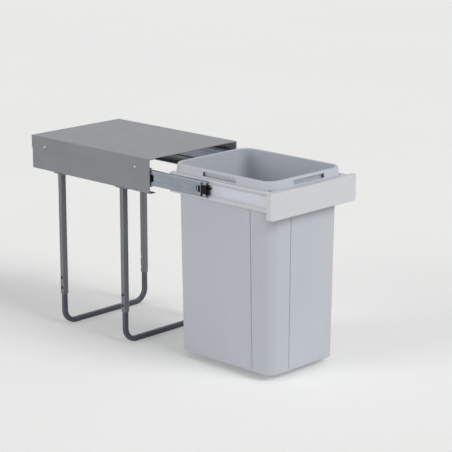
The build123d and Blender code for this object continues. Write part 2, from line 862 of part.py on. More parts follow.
def build_slides():
    """Writes the telescopic slides."""
    outer_start = cover_front + outer_cage_start
    inner_start = middle_front + inner_cage_start
    save_pair("outer_member", make_outer_member())
    save_pair("middle_member", make_middle_member())
    save_pair("inner_member", make_inner_member())
    save_pair("outer_cage", *make_outer_cage())
    save_pair("inner_cage", make_inner_cage())
    save_pair("outer_balls", *make_balls(outer_start, outer_cage_length, outer_ball_row, outer_ball_height()))
    save_pair("inner_balls", *make_balls(inner_start, inner_cage_length, inner_ball_row, inner_ball_height()))
    save_pair("end_cap", make_end_cap())
    save_pair("closing_bumper", make_closing_bumper())
    save_pair("release_lever", make_release_lever())
    save_pair("lever_pin", make_lever_pin())


def build_frame():
    """Writes the moving frame, its front panel and the bin."""
    save_pair("side_rail", make_side_rail())
    save("front_crossbar", make_front_crossbar())
    save("rear_crossbar", make_rear_crossbar())
    save("inner_rivets", *make_inner_rivets())
    save("front_panel", make_front_panel())
    save("panel_screws", *make_panel_screws())
    save("bin", make_bin())


os.makedirs("parts", exist_ok=True)
build_stand()
build_slides()
build_frame()
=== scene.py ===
import logging
import math
from dataclasses import dataclass
from enum import Enum
from typing import Iterable, Sequence

import bmesh
import bpy
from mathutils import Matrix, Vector


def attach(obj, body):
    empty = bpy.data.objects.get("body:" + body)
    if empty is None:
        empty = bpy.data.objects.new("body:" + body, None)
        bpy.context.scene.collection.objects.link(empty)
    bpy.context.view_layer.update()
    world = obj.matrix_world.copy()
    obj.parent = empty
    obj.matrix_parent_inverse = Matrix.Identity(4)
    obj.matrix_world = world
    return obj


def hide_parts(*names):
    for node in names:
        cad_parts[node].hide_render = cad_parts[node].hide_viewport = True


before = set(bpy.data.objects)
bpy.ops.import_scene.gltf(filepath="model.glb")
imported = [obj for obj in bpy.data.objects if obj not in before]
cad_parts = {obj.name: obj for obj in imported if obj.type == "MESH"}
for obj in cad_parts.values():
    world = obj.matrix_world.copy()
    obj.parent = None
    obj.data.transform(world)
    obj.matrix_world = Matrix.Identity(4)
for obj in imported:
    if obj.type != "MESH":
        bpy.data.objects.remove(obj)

LOG = logging.getLogger("pull_out_bin")
MM = 0.001
MERGE = 0.001 * MM
SMOOTH_ANGLE = math.radians(30.0)

Socket = bpy.types.NodeSocket
Piece = bpy.types.Object
Color = tuple[float, float, float, float]
Place = Sequence[float]
Spot = tuple[Place, Place]


class Side(Enum):
    """The two sides of the frame, seen from the front."""

    LEFT = -1
    RIGHT = 1

    @property
    def word(self) -> str:
        """The side's word in node names."""
        return self.name.lower()


class Way(Enum):
    """The direction that a repeated shape faces."""

    LEFT = (-1.0, 0.0, 0.0)
    RIGHT = (1.0, 0.0, 0.0)
    BACK = (0.0, 1.0, 0.0)
    UP = (0.0, 0.0, 1.0)
    DOWN = (0.0, 0.0, -1.0)


def linear(red: int, green: int, blue: int) -> Color:
    """Turns a colour as seen on a screen into the linear colour that a shader takes.

    Args:
        red: Red from 0 to 255.
        green: Green from 0 to 255.
        blue: Blue from 0 to 255.

    Returns:
        The linear colour with an alpha of 1.
    """
    def one(value: int) -> float:
        """One channel."""
        share = value / 255
        return share / 12.92 if share <= 0.04045 else ((share + 0.055) / 1.055) ** 2.4
    return (one(red), one(green), one(blue), 1.0)


# Node graphs

class Graph:
    """Adds nodes to a shader or geometry tree and links them."""

    def __init__(self, tree: bpy.types.NodeTree) -> None:
        """Takes the tree that the nodes go into."""
        self.tree = tree

    def node(self, kind: str, settings: dict | None = None, **inputs: object) -> bpy.types.Node:
        """Adds a node.

        Args:
            kind: Blender's name for the node type.
            settings: Attributes of the node itself.
            **inputs: Values or sockets for its inputs. An underscore stands for a space, and i0, i1 and so on
                stand for an input's number.

        Returns:
            The new node.
        """
        made = self.tree.nodes.new(kind)
        for name, value in (settings or {}).items():
            setattr(made, name, value)
        for name, value in inputs.items():
            key = int(name[1:]) if name[0] == "i" and name[1:].isdigit() else name.replace("_", " ")
            self.feed(made.inputs[key], value)
        return made

    def feed(self, socket: Socket, value: object) -> None:
        """Links a socket to an input, or writes a value into it.

        Args:
            socket: The input.
            value: A socket or a plain value.
        """
        if isinstance(value, bpy.types.NodeSocket):
            self.tree.links.new(value, socket)
        else:
            socket.default_value = value

    def math(self, operation: str, first: object, second: object) -> Socket:
        """Adds a Math node and returns its result."""
        return self.node("ShaderNodeMath", {"operation": operation}, i0=first, i1=second).outputs[0]

    def seen(self) -> Socket:
        """Tells what is looked at from what lights the object.

        Returns:
            1 for what the camera, gloss and glass see, and 0 for the light itself.
        """
        path = self.node("ShaderNodeLightPath")
        straight = self.math("MAXIMUM", path.outputs["Is Camera Ray"], path.outputs["Is Glossy Ray"])
        return self.math("MAXIMUM", straight, path.outputs["Is Transmission Ray"])

    def ramp(self, value: object, low: float, high: float, start: float = 0.0, end: float = 1.0) -> Socket:
        """Maps a value from one range to another, clamped.

        Args:
            value: The value.
            low: Where its range starts.
            high: Where its range ends.
            start: What low becomes.
            end: What high becomes.

        Returns:
            The result's socket.
        """
        made = self.node("ShaderNodeMapRange", {"clamp": True}, Value=value)
        for name, number in (("From Min", low), ("From Max", high), ("To Min", start), ("To Max", end)):
            made.inputs[name].default_value = number
        return made.outputs[0]

    def mix(self, share: object, first: object, second: object) -> Socket:
        """Mixes two colours by a share."""
        return self.node("ShaderNodeMix", {"data_type": "RGBA"}, i0=share, i6=first, i7=second).outputs[2]

    def noise(self, vector: object, scale: object, detail: float = 3.0, roughness: float = 0.5) -> Socket:
        """Adds a Noise Texture and returns its value."""
        return self.node("ShaderNodeTexNoise", Vector=vector, Scale=scale, Detail=detail,
                         Roughness=roughness).outputs[0]

    def group(self, tree: bpy.types.NodeTree, **inputs: object) -> bpy.types.Node:
        """Adds a shader node group with its inputs."""
        return self.node("ShaderNodeGroup", {"node_tree": tree}, **inputs)


class EffectGroups:
    """Shader node groups that several finishes share."""

    BEVEL_SAMPLES = 6
    EDGE_TURN = (0.995, 0.88)
    WORN_SPOTS = (0.42, 0.62)
    CELL_SHARE = 0.6
    PATCH_RANGE = (0.3, 0.7)
    LINE_ROUGHNESS = 0.6
    WIDE_LINES = 0.12
    LINE_RANGE = (0.75, 1.25)
    FACING_UP = (0.5, 1.0)
    DUST_RANGE = (0.4, 0.75)

    def __init__(self) -> None:
        """Builds each group once."""
        self.soft_edge = self.make_soft_edge()
        self.edge_wear = self.make_edge_wear()
        self.grain = self.make_grain()
        self.streaks = self.make_streaks()
        self.dust = self.make_dust()

    @staticmethod
    def start(name: str, inputs: Sequence[tuple[str, str, object]],
              outputs: Sequence[tuple[str, str]]) -> tuple:
        """Makes an empty group with its sockets.

        Args:
            name: The group's name.
            inputs: Name, socket type and default of each input.
            outputs: Name and socket type of each output.

        Returns:
            The group, a graph over it, its input node and its output node.
        """
        tree = bpy.data.node_groups.new(name, "ShaderNodeTree")
        for label, kind, default in inputs:
            socket = tree.interface.new_socket(name=label, in_out="INPUT", socket_type="NodeSocket" + kind)
            if default is not None:
                socket.default_value = default
        for label, kind in outputs:
            tree.interface.new_socket(name=label, in_out="OUTPUT", socket_type="NodeSocket" + kind)
        graph = Graph(tree)
        return tree, graph, tree.nodes.new("NodeGroupInput"), tree.nodes.new("NodeGroupOutput")

    def make_soft_edge(self) -> bpy.types.NodeTree:
        """Rounds the shading of sharp folded and sheared edges.

        Returns:
            The group.
        """
        tree, graph, given, result = self.start(
            "soft edge", [("Radius", "Float", 0.5 * MM), ("Normal", "Vector", None)], [("Normal", "Vector")])
        bevel = graph.node("ShaderNodeBevel", {"samples": self.BEVEL_SAMPLES}, Radius=given.outputs["Radius"],
                           Normal=given.outputs["Normal"])
        graph.feed(result.inputs["Normal"], bevel.outputs[0])
        return tree

    def make_edge_wear(self) -> bpy.types.NodeTree:
        """Masks the edges, broken up by noise, where paint is rubbed thin.

        Returns:
            The group.
        """
        tree, graph, given, result = self.start(
            "edge wear",
            [("Vector", "Vector", None), ("Radius", "Float", 1.0 * MM), ("Breakup", "Float", 60.0)],
            [("Mask", "Float")])
        bevel = graph.node("ShaderNodeBevel", {"samples": self.BEVEL_SAMPLES}, Radius=given.outputs["Radius"])
        flat = graph.node("ShaderNodeNewGeometry").outputs["Normal"]
        dot = graph.node("ShaderNodeVectorMath", {"operation": "DOT_PRODUCT"}, i0=bevel.outputs[0], i1=flat)
        turned = graph.ramp(dot.outputs["Value"], *self.EDGE_TURN)
        spots = graph.noise(given.outputs["Vector"], given.outputs["Breakup"], detail=2.0)
        graph.feed(result.inputs["Mask"], graph.math("MULTIPLY", turned, graph.ramp(spots, *self.WORN_SPOTS)))
        return tree

    def make_grain(self) -> bpy.types.NodeTree:
        """Fine skin of paint or moulded plastic: a height and a slow change of tone.

        Returns:
            The group.
        """
        tree, graph, given, result = self.start(
            "fine grain",
            [("Vector", "Vector", None), ("Scale", "Float", 900.0), ("Patch scale", "Float", 9.0)],
            [("Height", "Float"), ("Tone", "Float")])
        where = given.outputs["Vector"]
        fine = graph.noise(where, given.outputs["Scale"], detail=2.0)
        cells = graph.node("ShaderNodeTexVoronoi", {"feature": "SMOOTH_F1"}, Vector=where,
                           Scale=given.outputs["Scale"])
        height = graph.math("ADD", fine, graph.math("MULTIPLY", cells.outputs[0], self.CELL_SHARE))
        patches = graph.noise(where, given.outputs["Patch scale"], detail=4.0)
        graph.feed(result.inputs["Height"], height)
        graph.feed(result.inputs["Tone"], graph.ramp(patches, *self.PATCH_RANGE))
        return tree

    def make_streaks(self) -> bpy.types.NodeTree:
        """Rolling lines along the length of a drawn or rolled part.

        Returns:
            The group.
        """
        tree, graph, given, result = self.start(
            "rolling streaks",
            [("Vector", "Vector", None), ("Fineness", "Float", 700.0), ("Length", "Float", 6.0)],
            [("Height", "Float"), ("Tone", "Float")])
        parts = graph.node("ShaderNodeSeparateXYZ", Vector=given.outputs["Vector"])
        x, y, z = (graph.math("MULTIPLY", parts.outputs[axis], given.outputs[name])
                   for axis, name in enumerate(("Fineness", "Length", "Fineness")))
        pulled = graph.node("ShaderNodeCombineXYZ", i0=x, i1=y, i2=z)
        lines = graph.noise(pulled.outputs[0], 1.0, detail=4.0, roughness=self.LINE_ROUGHNESS)
        wide = graph.noise(pulled.outputs[0], self.WIDE_LINES, detail=2.0)
        graph.feed(result.inputs["Height"], lines)
        graph.feed(result.inputs["Tone"], graph.ramp(graph.math("ADD", lines, wide), *self.LINE_RANGE))
        return tree

    def make_dust(self) -> bpy.types.NodeTree:
        """Masks thin dust on faces that look up.

        Returns:
            The group.
        """
        tree, graph, given, result = self.start(
            "settled dust", [("Vector", "Vector", None), ("Scale", "Float", 45.0)], [("Mask", "Float")])
        normal = graph.node("ShaderNodeNewGeometry").outputs["Normal"]
        up = graph.ramp(graph.node("ShaderNodeSeparateXYZ", Vector=normal).outputs[2], *self.FACING_UP)
        cloud = graph.noise(given.outputs["Vector"], given.outputs["Scale"], detail=5.0)
        graph.feed(result.inputs["Mask"], graph.math("MULTIPLY", up, graph.ramp(cloud, *self.DUST_RANGE)))
        return tree


GROUPS = EffectGroups()


# Finishes

@dataclass(frozen=True)
class Finish:
    """What every finish has: a name, a colour, its gloss and how much its tone drifts."""

    name: str
    color: Color
    roughness: float = 0.5
    tone: float = 0.05
    bump: float = 0.02
    edge_radius: float = 0.5 * MM

    def shade(self, share: float) -> Color:
        """The colour made lighter or darker by a share."""
        red, green, blue, alpha = self.color
        return (min(red * share, 1.0), min(green * share, 1.0), min(blue * share, 1.0), alpha)

    def begin(self) -> tuple[bpy.types.Material, Graph, Socket, bpy.types.Node]:
        """Makes the material and finds its object coordinates and shader.

        Returns:
            The material, its graph, the coordinate socket and the Principled BSDF.
        """
        material = bpy.data.materials.new(self.name)
        material.use_nodes = True
        graph = Graph(material.node_tree)
        where = graph.node("ShaderNodeTexCoord").outputs["Object"]
        shader = material.node_tree.nodes["Principled BSDF"]
        return material, graph, where, shader

    def bumped(self, graph: Graph, height: object, distance: float) -> Socket:
        """A normal with rounded edges and a bump on top.

        Args:
            graph: The material's graph.
            height: The socket with the height.
            distance: How high the bump is, in metres.

        Returns:
            The normal's socket.
        """
        bump = graph.node("ShaderNodeBump", Strength=self.bump, Distance=distance, Height=height)
        return graph.group(GROUPS.soft_edge, Radius=self.edge_radius, Normal=bump.outputs[0]).outputs[0]

    def rough(self, graph: Graph, share: object, drift: float) -> Socket:
        """The roughness, which drifts with a share about its middle."""
        return graph.math("ADD", graph.math("MULTIPLY", share, drift), self.roughness - drift / 2)


@dataclass(frozen=True)
class PaintFinish(Finish):
    """Powder coat on sheet steel: orange peel, drifting tone, rubbed edges and some dust."""

    peel: float = 700.0
    peel_height: float = 0.1 * MM
    drift: float = 0.08
    wear: float = 0.25
    wear_width: float = 0.9 * MM
    rubbed: float = 1.5
    dust: float = 0.06
    dust_color: Color = linear(226, 224, 220)
    coat: float = 0.12
    coat_roughness: float = 0.25

    def build(self) -> bpy.types.Material:
        """Makes the material.

        Returns:
            The material.
        """
        material, graph, where, shader = self.begin()
        grain = graph.group(GROUPS.grain, Vector=where, Scale=self.peel)
        worn = graph.group(GROUPS.edge_wear, Vector=where, Radius=self.wear_width)
        dusty = graph.group(GROUPS.dust, Vector=where)
        tone = graph.mix(grain.outputs["Tone"], self.shade(1 - self.tone), self.shade(1 + self.tone))
        rubbed = graph.mix(graph.math("MULTIPLY", worn.outputs[0], self.wear), tone, self.shade(self.rubbed))
        settled = graph.mix(graph.math("MULTIPLY", dusty.outputs[0], self.dust), rubbed, self.dust_color)
        graph.feed(shader.inputs["Base Color"], settled)
        graph.feed(shader.inputs["Roughness"], self.rough(graph, grain.outputs["Tone"], self.drift))
        shader.inputs["Coat Weight"].default_value = self.coat
        shader.inputs["Coat Roughness"].default_value = self.coat_roughness
        graph.feed(shader.inputs["Normal"], self.bumped(graph, grain.outputs["Height"], self.peel_height))
        return material


@dataclass(frozen=True)
class PlasticFinish(Finish):
    """Moulded plastic: a fine eroded skin with slow changes of tone and faint flow streaks."""

    skin: float = 1400.0
    gloss: float = 0.45
    flow: float = 0.3
    flow_scale: tuple[float, float, float] = (14.0, 14.0, 1.6)
    flow_range: tuple[float, float] = (0.35, 0.7)
    patch_scale: float = 6.0
    skin_height: float = 0.1 * MM
    drift: float = 0.1

    def build(self) -> bpy.types.Material:
        """Makes the material.

        Returns:
            The material.
        """
        material, graph, where, shader = self.begin()
        grain = graph.group(GROUPS.grain, Vector=where, Scale=self.skin, Patch_scale=self.patch_scale)
        drawn = graph.node("ShaderNodeMapping", Vector=where, Scale=self.flow_scale)
        flow = graph.ramp(graph.noise(drawn.outputs[0], 1.0), *self.flow_range)
        share = graph.math("ADD", graph.math("MULTIPLY", grain.outputs["Tone"], 1 - self.flow),
                           graph.math("MULTIPLY", flow, self.flow))
        tone = graph.mix(share, self.shade(1 - self.tone), self.shade(1 + self.tone))
        graph.feed(shader.inputs["Base Color"], tone)
        graph.feed(shader.inputs["Roughness"], self.rough(graph, share, self.drift))
        shader.inputs["Specular IOR Level"].default_value = self.gloss
        graph.feed(shader.inputs["Normal"], self.bumped(graph, grain.outputs["Height"], self.skin_height))
        return material


@dataclass(frozen=True)
class ZincFinish(Finish):
    """Zinc plated rolled steel: rolling lines along its length and cloudy plating; a glossier, darker copy
    stands for grease and a painted dark reflection.
    """

    metallic: float = 0.9
    fineness: float = 900.0
    line_share: float = 0.35
    line_shade: float = 0.8
    line_height: float = 0.05 * MM
    cloud_scale: float = 34.0
    cloud_range: tuple[float, float] = (0.35, 0.65)
    bluing: float = 1.06
    drift: float = 0.14

    def build(self) -> bpy.types.Material:
        """Makes the material.

        Returns:
            The material.
        """
        material, graph, where, shader = self.begin()
        lines = graph.group(GROUPS.streaks, Vector=where, Fineness=self.fineness)
        cloud = graph.ramp(graph.noise(where, self.cloud_scale, detail=4.0), *self.cloud_range)
        blue = self.color[:2] + (min(self.color[2] * self.bluing, 1.0), 1.0)
        plated = graph.mix(cloud, self.shade(1 - self.tone), blue)
        drawn = graph.math("MULTIPLY", lines.outputs["Tone"], self.line_share)
        graph.feed(shader.inputs["Base Color"], graph.mix(drawn, plated, self.shade(self.line_shade)))
        graph.feed(shader.inputs["Roughness"], self.rough(graph, cloud, self.drift))
        shader.inputs["Metallic"].default_value = self.metallic
        graph.feed(shader.inputs["Normal"], self.bumped(graph, lines.outputs["Height"], self.line_height))
        return material


@dataclass(frozen=True)
class FinishSet:
    """Every finish on the object."""

    # The cover's grey is its own paint colour, darkened in part as painted shade.
    cover: PaintFinish = PaintFinish("cover paint", linear(131, 133, 138), 0.44, 0.05, 0.10, 0.6 * MM)
    leg: PaintFinish = PaintFinish("leg paint", linear(112, 115, 120), 0.45, 0.06, 0.12, 0.4 * MM)
    # The brackets' grey is the legs' paint darkened as painted shade.
    bracket: PaintFinish = PaintFinish("bracket paint", linear(74, 78, 88), 0.42, 0.07, 0.12, 0.4 * MM)
    rail: PaintFinish = PaintFinish("frame paint", linear(205, 207, 212), 0.4, 0.03, 0.08, 0.4 * MM)
    panel: PlasticFinish = PlasticFinish("panel plastic", linear(209, 210, 215), 0.45, 0.02, 0.06, 0.5 * MM)
    bin: PlasticFinish = PlasticFinish("bin plastic", linear(190, 194, 202), 0.5, 0.03, 0.10, 0.6 * MM)
    zinc: ZincFinish = ZincFinish("zinc plating", linear(200, 203, 208), 0.42, 0.06, 0.12, 0.3 * MM, 0.85)
    # Greased zinc, darkened as a painted dark reflection on the slides' outer parts.
    greased: ZincFinish = ZincFinish("greased zinc", linear(150, 157, 164), 0.36, 0.08, 0.14, 0.3 * MM, 0.95)
    steel: ZincFinish = ZincFinish("screw steel", linear(190, 192, 195), 0.28, 0.08, 0.06, 0.2 * MM, 1.0,
                                   1600.0)
    dark: ZincFinish = ZincFinish("blackened screw steel", linear(40, 42, 46), 0.5, 0.08, 0.06, 0.2 * MM, 0.6,
                                  1600.0)
    ball: ZincFinish = ZincFinish("ball steel", linear(215, 217, 220), 0.12, 0.03, 0.01, 0.05 * MM, 1.0,
                                  200.0)
    black: PlasticFinish = PlasticFinish("black plastic", linear(8, 8, 9), 0.5, 0.12, 0.12, 0.3 * MM, 1800.0,
                                         gloss=0.15)


FINISHES = FinishSet()


class Paintbox:
    """Builds each finish's material once and puts it on pieces and nodes."""

    def __init__(self) -> None:
        """Starts with no materials."""
        self.made: dict[str, bpy.types.Material] = {}

    def of(self, finish: Finish) -> bpy.types.Material:
        """Finds or builds a finish's material.

        Args:
            finish: The finish.

        Returns:
            Its material.
        """
        if finish.name not in self.made:
            self.made[finish.name] = finish.build()
        return self.made[finish.name]

    def dress(self, finish: Finish, *nodes: str) -> None:
        """Puts a finish on CAD nodes.

        Args:
            finish: The finish.
            *nodes: The names of the nodes.
        """
        for name in nodes:
            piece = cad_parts[name]
            piece.data.materials.clear()
            piece.data.materials.append(self.of(finish))
            LOG.info("dressed %s in %s", name, finish.name)

    def pair(self, finish: Finish, *stems: str) -> None:
        """Puts a finish on the left and right nodes of each stem."""
        for stem in stems:
            self.dress(finish, *(f"{stem}_{side.word}" for side in Side))


PAINT = Paintbox()


# Meshes

def settle(build: bmesh.types.BMesh) -> None:
    """Merges a bmesh's doubles, turns its faces outwards and shades it smooth between its sharp edges.

    Args:
        build: The bmesh.
    """
    bmesh.ops.remove_doubles(build, verts=build.verts, dist=MERGE)
    bmesh.ops.recalc_face_normals(build, faces=build.faces)
    for face in build.faces:
        face.smooth = True
    for edge in build.edges:
        edge.smooth = len(edge.link_faces) != 2 or edge.calc_face_angle(0.0) <= SMOOTH_ANGLE


def mesh_object(name: str, build: bmesh.types.BMesh, finish: Finish) -> Piece:
    """Turns a bmesh into a finished object at the origin.

    Args:
        name: The piece's name.
        build: The bmesh, which is freed.
        finish: Its finish.

    Returns:
        The object.
    """
    settle(build)
    mesh = bpy.data.meshes.new(name)
    build.to_mesh(mesh)
    build.free()
    mesh.materials.append(PAINT.of(finish))
    piece = bpy.data.objects.new(name, mesh)
    bpy.context.scene.collection.objects.link(piece)
    return piece


def apply_modifiers(piece: Piece) -> None:
    """Turns a piece's modifiers into its own plain mesh.

    Args:
        piece: The piece with its modifiers.
    """
    depsgraph = bpy.context.evaluated_depsgraph_get()
    result = bpy.data.meshes.new_from_object(piece.evaluated_get(depsgraph))
    piece.modifiers.clear()
    piece.data = result
    result.name = piece.name


def carve(piece: Piece, cutter: Piece) -> None:
    """Cuts one piece out of another, removes the cutter and shades the result.

    Args:
        piece: The piece that is cut.
        cutter: The closed shape that is taken away.
    """
    cut = piece.modifiers.new("cut", "BOOLEAN")
    cut.operation = "DIFFERENCE"
    cut.solver = "EXACT"
    cut.use_self = True
    cut.object = cutter
    apply_modifiers(piece)
    bpy.data.objects.remove(cutter)
    build = bmesh.new()
    build.from_mesh(piece.data)
    settle(build)
    build.to_mesh(piece.data)
    build.free()


def loop_faces(build: bmesh.types.BMesh, rings: Sequence[Sequence[Vector]]) -> None:
    """Skins rings of points that have the same count, and closes the first and the last.

    Args:
        build: The bmesh that the faces go into.
        rings: The rings, in order.
    """
    made = [[build.verts.new(point) for point in ring] for ring in rings]
    count = len(made[0])
    for low, high in zip(made, made[1:]):
        for step in range(count):
            after = (step + 1) % count
            build.faces.new((low[step], low[after], high[after], high[step]))
    build.faces.new(made[0])
    build.faces.new(made[-1])


# The stage

@dataclass(frozen=True)
class Stage:
    """The pale floor and backdrop, the lamps and the camera.

    Lengths are in metres and angles in degrees. The lens and the sensor are in millimetres.
    """

    floor_size: float = 60.0
    floor_drop: float = 0.2 * MM
    floor_patches: float = 0.8
    floor_colors: tuple[Color, Color] = (linear(229, 229, 227), linear(234, 234, 232))
    floor_roughness: float = 0.8
    floor_gloss: float = 0.2
    floor_glow_color: Color = linear(245, 246, 248)
    floor_glow: float = 0.2
    sky_color: Color = linear(240, 240, 240)
    sky_light: float = 0.36
    sky_seen: float = 0.95
    suns: tuple[tuple[str, Place, float, float], ...] = (
        ("front sky light", (0.4, -3.1, 2.6), 1.75, 35.0), ("left sky light", (-2.6, 0.7, 1.1), 1.1, 32.0))
    panel_place: tuple[float, float, float] = (2.2, -2.4, 1.0)
    panel_size: float = 1.8
    panel_power: float = 4.0
    aim: tuple[float, float, float] = (0.0, -0.3, 0.25)
    camera_place: tuple[float, float, float] = (-2.81659, -3.01943, 1.29992)
    camera_down: float = 14.34
    camera_turn: float = 46.14
    lens: float = 137.7
    sensor: float = 36.0
    farthest: float = 100.0

    def build(self) -> None:
        """Makes all of it."""
        self.make_floor()
        self.make_world()
        self.make_lamps()
        self.make_camera()

    def make_floor(self) -> None:
        """A wide pale floor."""
        bpy.ops.mesh.primitive_plane_add(size=self.floor_size, location=(0, 0, -self.floor_drop))
        floor = bpy.context.object
        floor.name = "floor"
        material = bpy.data.materials.new("pale floor")
        material.use_nodes = True
        graph = Graph(material.node_tree)
        shader = material.node_tree.nodes["Principled BSDF"]
        where = graph.node("ShaderNodeTexCoord").outputs["Object"]
        patches = graph.noise(where, self.floor_patches, detail=2.0)
        graph.feed(shader.inputs["Base Color"], graph.mix(patches, *self.floor_colors))
        shader.inputs["Roughness"].default_value = self.floor_roughness
        shader.inputs["Specular IOR Level"].default_value = self.floor_gloss
        shader.inputs["Emission Color"].default_value = self.floor_glow_color
        graph.feed(shader.inputs["Emission Strength"], graph.math("MULTIPLY", graph.seen(), self.floor_glow))
        floor.data.materials.append(material)

    def make_world(self) -> None:
        """A soft white surround, which the camera, gloss and glass see as a pale backdrop."""
        world = bpy.data.worlds.new("studio")
        bpy.context.scene.world = world
        world.use_nodes = True
        graph = Graph(world.node_tree)
        background = world.node_tree.nodes["Background"]
        background.inputs["Color"].default_value = self.sky_color
        strength = graph.ramp(graph.seen(), 0.0, 1.0, self.sky_light, self.sky_seen)
        graph.feed(background.inputs["Strength"], strength)

    def make_lamps(self) -> None:
        """Broad soft light from the front and from the left, and a weak panel at the front right."""
        for name, place, energy, angle in self.suns:
            sky = bpy.data.lights.new(name, "SUN")
            sky.energy = energy
            sky.angle = math.radians(angle)
            self.hang(sky, place)
        panel = bpy.data.lights.new("front panel light", "AREA")
        panel.shape = "DISK"
        panel.size = self.panel_size
        panel.energy = self.panel_power
        self.hang(panel, self.panel_place)

    def hang(self, light: bpy.types.Light, place: Place) -> None:
        """Hangs a lamp that looks at the middle of the object.

        Args:
            light: The lamp.
            place: Where it hangs.
        """
        lamp = bpy.data.objects.new(light.name, light)
        lamp.location = place
        lamp.rotation_euler = (Vector(self.aim) - Vector(place)).to_track_quat("-Z", "Y").to_euler()
        bpy.context.scene.collection.objects.link(lamp)

    def make_camera(self) -> None:
        """The camera at the photograph's viewing angle."""
        data = bpy.data.cameras.new("camera")
        data.lens = self.lens
        data.sensor_width = self.sensor
        data.clip_end = self.farthest
        camera = bpy.data.objects.new("camera", data)
        camera.location = self.camera_place
        camera.rotation_euler = (math.radians(90 - self.camera_down), 0.0, -math.radians(self.camera_turn))
        bpy.context.scene.collection.objects.link(camera)
        bpy.context.scene.camera = camera


# What repeats: screws, nuts, rivets, weld beads and balls

class Head(Enum):
    """The shapes that repeat over the object."""

    CROSS = "pan head with a cross recess"
    NUT = "hexagon nut"
    RIVET = "domed rivet head"
    BEAD = "one ripple of a weld bead"
    BALL = "bearing ball"


@dataclass(frozen=True)
class HeadShapes:
    """Builds each repeating shape once, one unit wide, standing on Z = 0."""

    around: int = 32
    ball_detail: int = 3
    bead_detail: int = 2
    foot_half: float = 0.49
    rim: float = 0.03
    dome: float = 0.2
    dome_power: float = 0.6
    dome_steps: int = 8
    dome_tip: float = 0.05
    recess_width: float = 0.11
    recess_length: float = 0.52
    recess_depth: float = 0.14
    recess_top: float = 0.5
    recess_foot: float = 0.6
    nut_height: float = 0.34
    nut_edge: float = 0.05
    nut_face_half: float = 0.44
    thread_mouth: float = 0.2
    thread_half: float = 0.17
    thread_drop: float = 0.04
    bead_height: float = 0.62
    tail: float = 0.0
    tail_half: float = 0.0
    tail_edge: float = 0.02

    def revolve(self, profile: Sequence[tuple[float, float]], sides: int) -> bmesh.types.BMesh:
        """Turns a profile of radius and height about Z.

        Args:
            profile: Points from the foot to the top, none on the axis.
            sides: The number of sides.

        Returns:
            The closed shape.
        """
        build = bmesh.new()
        rings = []
        for radius, height in profile:
            turns = [math.tau * step / sides for step in range(sides)]
            rings.append([Vector((radius * math.cos(turn), radius * math.sin(turn), height))
                          for turn in turns])
        loop_faces(build, rings)
        return build

    def wedge(self, build: bmesh.types.BMesh, half_x: float, half_y: float) -> None:
        """Adds a wedge that narrows downwards, for one arm of a cross recess.

        Args:
            build: The bmesh that it goes into.
            half_x: Half its width at the top.
            half_y: Half its length at the top.
        """
        rings = []
        for height, share in ((self.dome - self.recess_depth, self.recess_foot), (self.recess_top, 1.0)):
            corners = ((-1, -1), (1, -1), (1, 1), (-1, 1))
            rings.append([Vector((x * half_x * share, y * half_y * share, height)) for x, y in corners])
        loop_faces(build, rings)

    def grown(self, head: Head, detail: int, finish: Finish, height: float) -> Piece:
        """Makes a round shape without a foot.

        Args:
            head: Which one.
            detail: How finely its sphere is divided.
            finish: Its finish.
            height: Its height as a share of its width.

        Returns:
            The object.
        """
        build = bmesh.new()
        bmesh.ops.create_icosphere(build, subdivisions=detail, radius=0.5)
        bmesh.ops.scale(build, vec=(1.0, 1.0, height), verts=build.verts)
        return mesh_object(head.value, build, finish)

    def build(self, head: Head) -> Piece:
        """Makes one shape.

        Args:
            head: Which one.

        Returns:
            The object, which the tree copies and which is removed afterwards.
        """
        if head is Head.BALL:
            return self.grown(head, self.ball_detail, FINISHES.ball, 1.0)
        if head is Head.BEAD:
            return self.grown(head, self.bead_detail, FINISHES.leg, self.bead_height)
        if head is Head.NUT:
            top = self.nut_height
            profile = [(self.nut_face_half, 0.0), (0.5, self.nut_edge), (0.5, top - self.nut_edge),
                       (self.nut_face_half, top), (self.thread_mouth, top),
                       (self.thread_half, top - self.thread_drop)]
            return mesh_object(head.value, self.revolve(profile, 6), FINISHES.steel)
        profile = [(self.foot_half, 0.0), (0.5, self.rim)]
        if self.tail > 0:
            half = self.tail_half
            profile = [(half - self.tail_edge, -self.tail), (half, self.tail_edge - self.tail),
                       (half, 0.0)] + profile
        for step in range(1, self.dome_steps):
            turn = math.pi / 2 * step / self.dome_steps
            profile.append((0.5 * math.cos(turn) ** self.dome_power, self.rim + self.dome * math.sin(turn)))
        profile.append((self.dome_tip, self.rim + self.dome))
        shape = mesh_object(head.value, self.revolve(profile, self.around), FINISHES.steel)
        if head is Head.CROSS:
            cross = bmesh.new()
            self.wedge(cross, self.recess_length / 2, self.recess_width / 2)
            self.wedge(cross, self.recess_width / 2, self.recess_length / 2)
            carve(shape, mesh_object("cross recess", cross, FINISHES.steel))
        return shape


